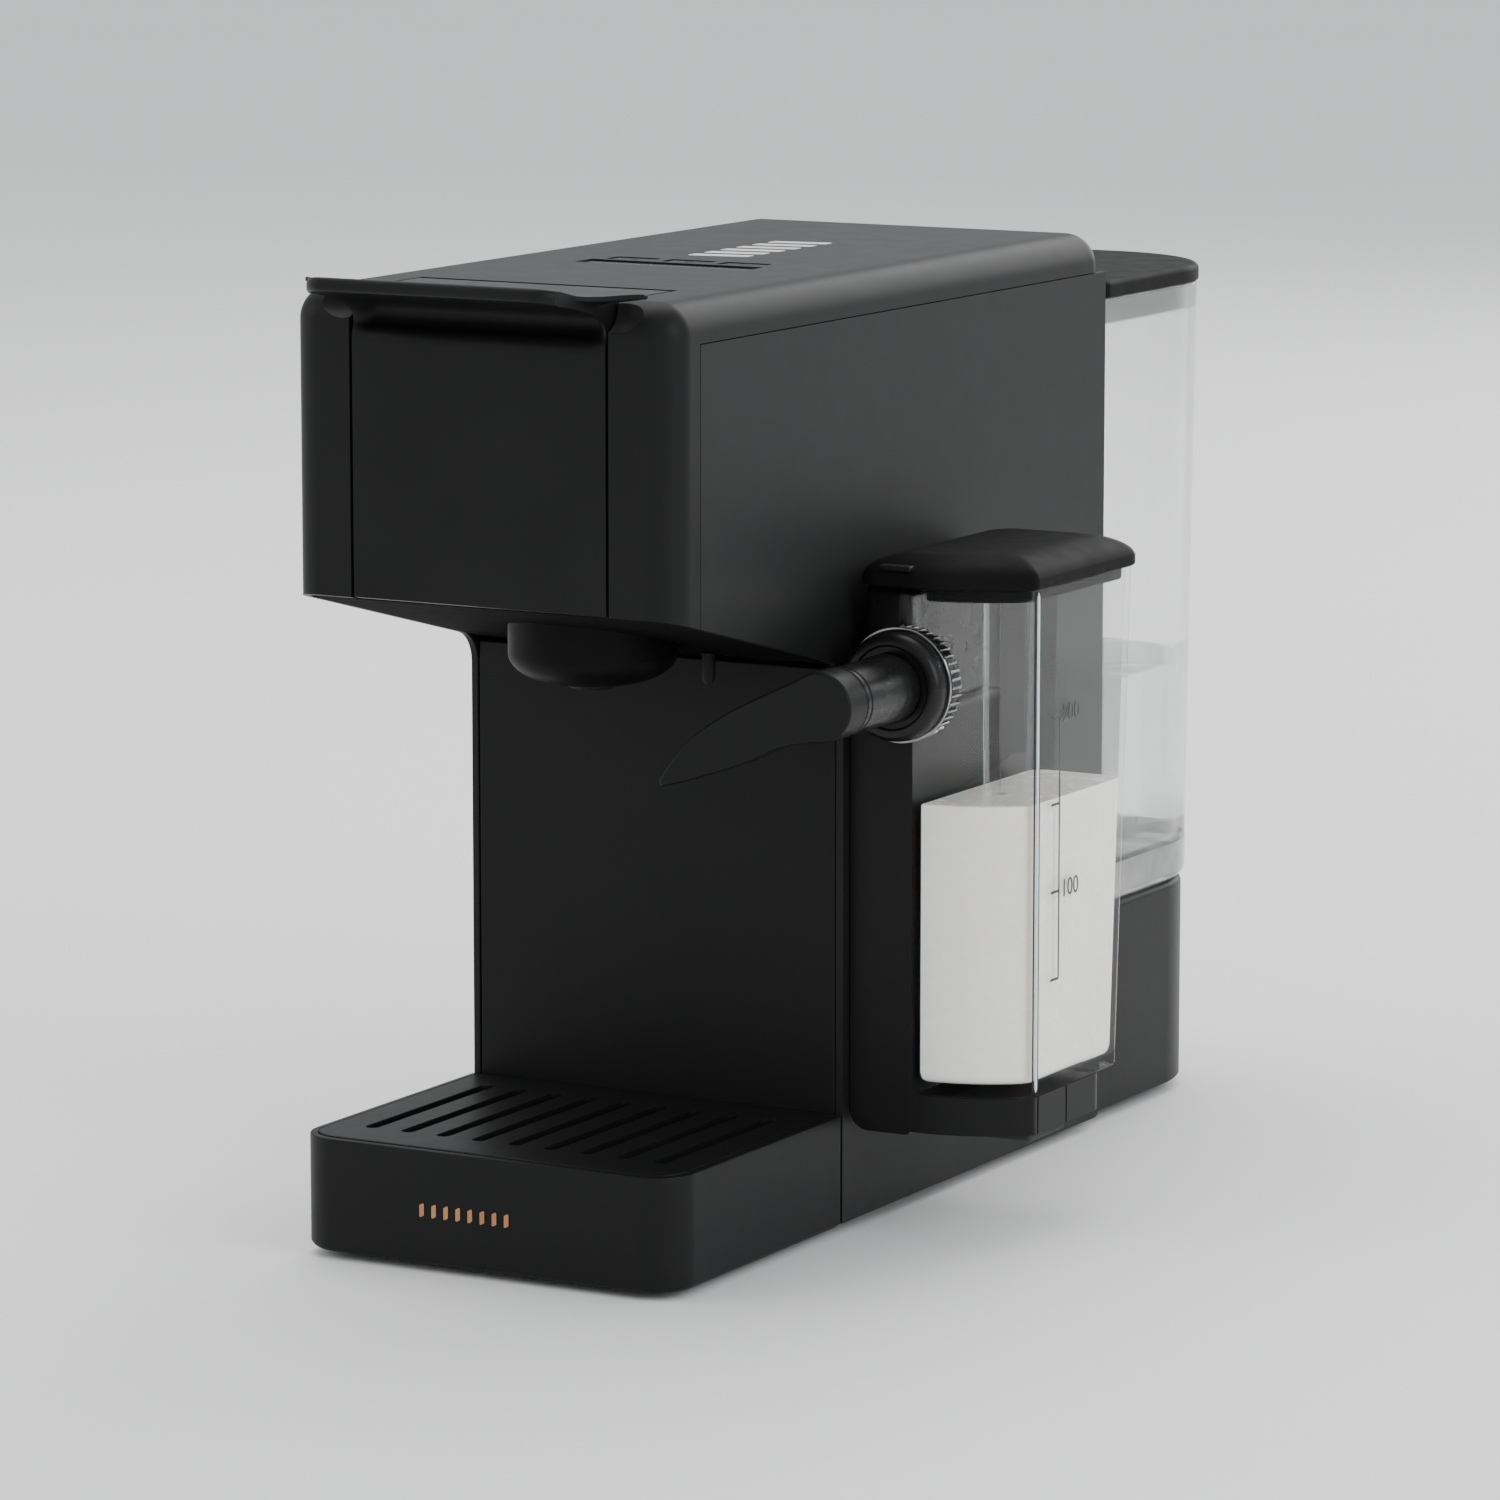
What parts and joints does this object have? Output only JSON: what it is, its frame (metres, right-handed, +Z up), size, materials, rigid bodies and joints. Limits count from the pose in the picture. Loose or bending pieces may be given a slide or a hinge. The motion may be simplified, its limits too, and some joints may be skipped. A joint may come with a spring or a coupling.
{
  "type": "pod coffee machine",
  "caption": "Narrow pod coffee machine with a front lever, a drip tray, a clear milk jug with a frothing spout on its side and a clear water tank behind.",
  "frame": {"origin": "middle of the machine's footprint, on the surface it stands on", "axes": "+Z up, +Y from the drip tray back to the water tank, +X towards the milk jug"},
  "size_m": [0.1762, 0.3856, 0.2775],
  "materials": {
    "black_shell": "fine matte moulded black plastic",
    "black_gloss": "smooth satin black plastic",
    "dark_inner": "matte dark grey plastic",
    "clear_plastic": "clear moulded plastic",
    "steel": "brushed stainless steel",
    "chrome_trim": "bright chrome plate",
    "cast_alloy": "cast aluminium",
    "board_green": "green circuit board laminate",
    "rubber": "black rubber",
    "hose_white": "milky silicone hose"
  },
  "bodies": {
    "root": {"side_panel_right": "black_shell", "side_panel_left": "black_shell", "top_shell": "black_shell", "column_front": "black_shell", "base_plate": "black_shell", "rear_stand": "black_shell", "milk_holder": "black_shell", "control_strip": "black_gloss", "brew_bowl": "black_gloss", "head_floor": "dark_inner", "back_panel": "dark_inner", "brew_cage": "dark_inner", "capsule_bin": "dark_inner", "relay_block": "dark_inner", "flow_meter": "dark_inner", "valve_seat": "dark_inner", "hot_water_tip": "dark_inner", "coffee_outlet": "dark_inner", "brew_frame": "steel", "hinge_pin": "steel", "chassis": "steel", "steam_port": "steel", "pump": "cast_alloy", "thermoblock": "cast_alloy", "circuit_board": "board_green", "key_board": "board_green", "foot_front_left": "rubber", "foot_front_right": "rubber", "foot_rear_left": "rubber", "foot_rear_right": "rubber", "cord_gland": "rubber", "shelf_pad": "rubber", "water_tube": "hose_white", "feed_tube": "hose_white", "brew_tube": "hose_white", "steam_tube": "hose_white"},
    "lever": {"lever_panel": "black_shell", "lever_lip": "black_shell"},
    "piston": {"brew_piston": "steel"},
    "key_left_body": {"key_left": "black_shell"},
    "key_middle_body": {"key_middle": "black_shell"},
    "key_right_body": {"key_right": "black_shell"},
    "tray": {"drip_tray": "black_shell"},
    "grate": {"tray_grate": "dark_inner"},
    "jug": {"milk_container": "clear_plastic", "froth_head": "black_shell", "milk_pipe": "black_gloss"},
    "jug_cover": {"jug_lid": "black_gloss", "milk_straw": "clear_plastic"},
    "knob": {"froth_knob": "black_gloss", "knob_trim": "chrome_trim"},
    "spout": {"milk_spout": "black_shell"},
    "tank": {"water_tank": "clear_plastic", "tank_valve": "dark_inner"},
    "tank_cover": {"tank_lid": "black_shell", "lid_skirt": "dark_inner"}
  },
  "joints": [
    {"name": "lever_hinge", "type": "hinge", "parent": "root", "child": "lever", "pos_m": [-0.0271, -0.13235, 0.267], "axis": [-1, 0, 0], "range_deg": [0, 65]},
    {"name": "piston_slide", "type": "slide", "parent": "root", "child": "piston", "axis": [0, 1, 0], "range_m": [0, 0.02]},
    {"name": "key_left_press", "type": "slide", "parent": "root", "child": "key_left_body", "axis": [0, 0, -1], "range_m": [0, 0.001], "stiffness_N_per_m": 600},
    {"name": "key_middle_press", "type": "slide", "parent": "root", "child": "key_middle_body", "axis": [0, 0, -1], "range_m": [0, 0.001], "stiffness_N_per_m": 600},
    {"name": "key_right_press", "type": "slide", "parent": "root", "child": "key_right_body", "axis": [0, 0, -1], "range_m": [0, 0.001], "stiffness_N_per_m": 600},
    {"name": "tray_slide", "type": "slide", "parent": "root", "child": "tray", "axis": [0, -1, 0], "range_m": [0, 0.11]},
    {"name": "grate_lift", "type": "slide", "parent": "tray", "child": "grate", "axis": [0, 0, 1], "range_m": [0, 0.05]},
    {"name": "jug_slide", "type": "slide", "parent": "root", "child": "jug", "axis": [1, 0, 0], "range_m": [0, 0.08]},
    {"name": "jug_lid_lift", "type": "slide", "parent": "jug", "child": "jug_cover", "axis": [0, 0, 1], "range_m": [0, 0.06]},
    {"name": "knob_turn", "type": "hinge", "parent": "jug", "child": "knob", "pos_m": [0.0542, -0.07375, 0.1596], "axis": [0, 1, 0], "range_deg": [0, 180]},
    {"name": "spout_swivel", "type": "hinge", "parent": "jug", "child": "spout", "pos_m": [0.0542, -0.11575, 0.1596], "axis": [0, 1, 0], "range_deg": [-15, 10]},
    {"name": "tank_lift", "type": "slide", "parent": "root", "child": "tank", "axis": [0, 0, 1], "range_m": [0, 0.15]},
    {"name": "tank_lid_lift", "type": "slide", "parent": "tank", "child": "tank_cover", "axis": [0, 0, 1], "range_m": [0, 0.05]}
  ],
  "couplings": [
    {"joint": "piston_slide", "follows": "lever_hinge", "m_per_rad": 0.0176}
  ]
}
